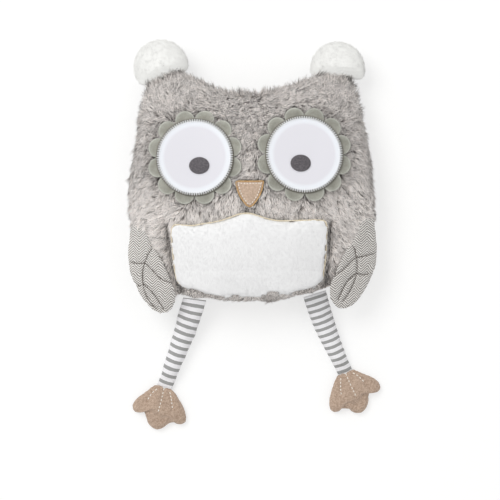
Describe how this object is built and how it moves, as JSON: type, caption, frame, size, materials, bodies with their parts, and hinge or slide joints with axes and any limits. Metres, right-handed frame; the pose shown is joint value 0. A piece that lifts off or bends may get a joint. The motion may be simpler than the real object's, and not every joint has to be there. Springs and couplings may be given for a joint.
{
  "type": "plush owl",
  "caption": "Square plush owl on its back, with eared fur body, felt-ringed eyes, white belly panel, woven wings, dangling striped legs, webbed feet and a pompom on each ear.",
  "frame": {"origin": "middle of the flat on the owl's back, on the surface it lies on", "axes": "+Y from the feet towards the ears, +Z out of the belly, +X towards the owl's own left"},
  "size_m": [0.2662, 0.4108, 0.0932],
  "materials": {
    "fur": "grey brushed plush fur",
    "stuffing": "white polyester fibre",
    "white_plush": "short white plush",
    "pompom_yarn": "fluffy white faux fur",
    "felt": "grey-green felt",
    "eye_satin": "white satin with a stitched rim",
    "pupil_thread": "dark grey embroidery",
    "linen": "beige linen",
    "gold_thread": "golden tan satin stitch",
    "woven_grey": "pale grey herringbone weave",
    "striped_jersey": "grey and white striped jersey",
    "foot_linen": "brown linen with cream stitching",
    "thread": "white sewing thread"
  },
  "bodies": {
    "body": {"body_front": "fur", "body_back": "fur", "body_stuffing": "stuffing", "belly_panel": "white_plush", "belly_cord": "gold_thread", "beak": "linen", "beak_border": "gold_thread", "eye_felt_left": "felt", "eye_felt_right": "felt", "eye_white_left": "eye_satin", "eye_white_right": "eye_satin", "pupil_left": "pupil_thread", "pupil_right": "pupil_thread"},
    "wing_left": {"wing_back_left": "woven_grey", "wing_front_left": "woven_grey", "wing_wadding_left": "stuffing"},
    "wing_right": {"wing_back_right": "woven_grey", "wing_front_right": "woven_grey", "wing_wadding_right": "stuffing"},
    "leg_left": {"leg_sleeve_left": "striped_jersey", "leg_stuffing_left": "stuffing"},
    "leg_right": {"leg_sleeve_right": "striped_jersey", "leg_stuffing_right": "stuffing"},
    "foot_left": {"foot_sole_left": "foot_linen", "foot_upper_left": "foot_linen", "foot_filling_left": "stuffing"},
    "foot_right": {"foot_sole_right": "foot_linen", "foot_upper_right": "foot_linen", "foot_filling_right": "stuffing"},
    "pompom_left": {"pompom_left": "pompom_yarn", "pompom_tie_left": "thread"},
    "pompom_right": {"pompom_right": "pompom_yarn", "pompom_tie_right": "thread"}
  },
  "joints": [
    {"name": "wing_left_flap", "type": "hinge", "parent": "body", "child": "wing_left", "pos_m": [-0.12647, -0.04419, 0.038], "axis": [0, -1, 0], "range_deg": [0, 110]},
    {"name": "wing_right_flap", "type": "hinge", "parent": "body", "child": "wing_right", "pos_m": [0.12759, -0.03902, 0.038], "axis": [0, 1, 0], "range_deg": [0, 110]},
    {"name": "hip_left", "type": "hinge", "parent": "body", "child": "leg_left", "pos_m": [-0.06006, -0.11415, 0.03589], "axis": [-0.992, 0.1259, 0], "range_deg": [-40, 100]},
    {"name": "hip_right", "type": "hinge", "parent": "body", "child": "leg_right", "pos_m": [0.06549, -0.1086, 0.03663], "axis": [-0.953, -0.3029, 0], "range_deg": [-40, 100]},
    {"name": "ankle_left", "type": "hinge", "parent": "leg_left", "child": "foot_left", "pos_m": [-0.09349, -0.20962, 0.0055], "axis": [-0.9438, 0.3305, 0], "range_deg": [-50, 50]},
    {"name": "ankle_right", "type": "hinge", "parent": "leg_right", "child": "foot_right", "pos_m": [0.09963, -0.19397, 0.0055], "axis": [-0.9285, -0.3714, 0], "range_deg": [-50, 50]},
    {"name": "pompom_left_nod", "type": "hinge", "parent": "body", "child": "pompom_left", "pos_m": [-0.09151, 0.11728, 0.02923], "axis": [0.9472, 0.3206, 0], "range_deg": [-20, 20]},
    {"name": "pompom_right_nod", "type": "hinge", "parent": "body", "child": "pompom_right", "pos_m": [0.08943, 0.11806, 0.0294], "axis": [0.9968, -0.0802, 0], "range_deg": [-20, 20]}
  ]
}
